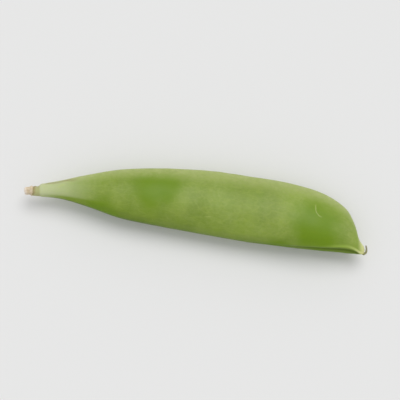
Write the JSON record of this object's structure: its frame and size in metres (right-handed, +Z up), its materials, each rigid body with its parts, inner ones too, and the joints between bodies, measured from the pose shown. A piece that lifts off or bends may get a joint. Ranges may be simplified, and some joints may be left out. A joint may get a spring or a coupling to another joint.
{
  "type": "sugar snap pea pod",
  "caption": "Fresh sugar snap pea pod lying on its side: plump green shell with an arched back, a two-lipped seam, a dry stem stub and a curled dry style at the beak",
  "frame": {"origin": "middle of the bounding box, on the surface that the pod lies on", "axes": "+X from the stem end to the beak, +Y from the seam edge to the arched outer edge, +Z up through both cheeks"},
  "size_m": [0.0894, 0.017, 0.0098],
  "materials": {
    "pod_skin": "satin",
    "dry_stem": "matte",
    "dry_style": "matte"
  },
  "bodies": {
    "root": {"pod": "pod_skin", "stem_stub": "dry_stem", "style": "dry_style"}
  },
  "joints": []
}
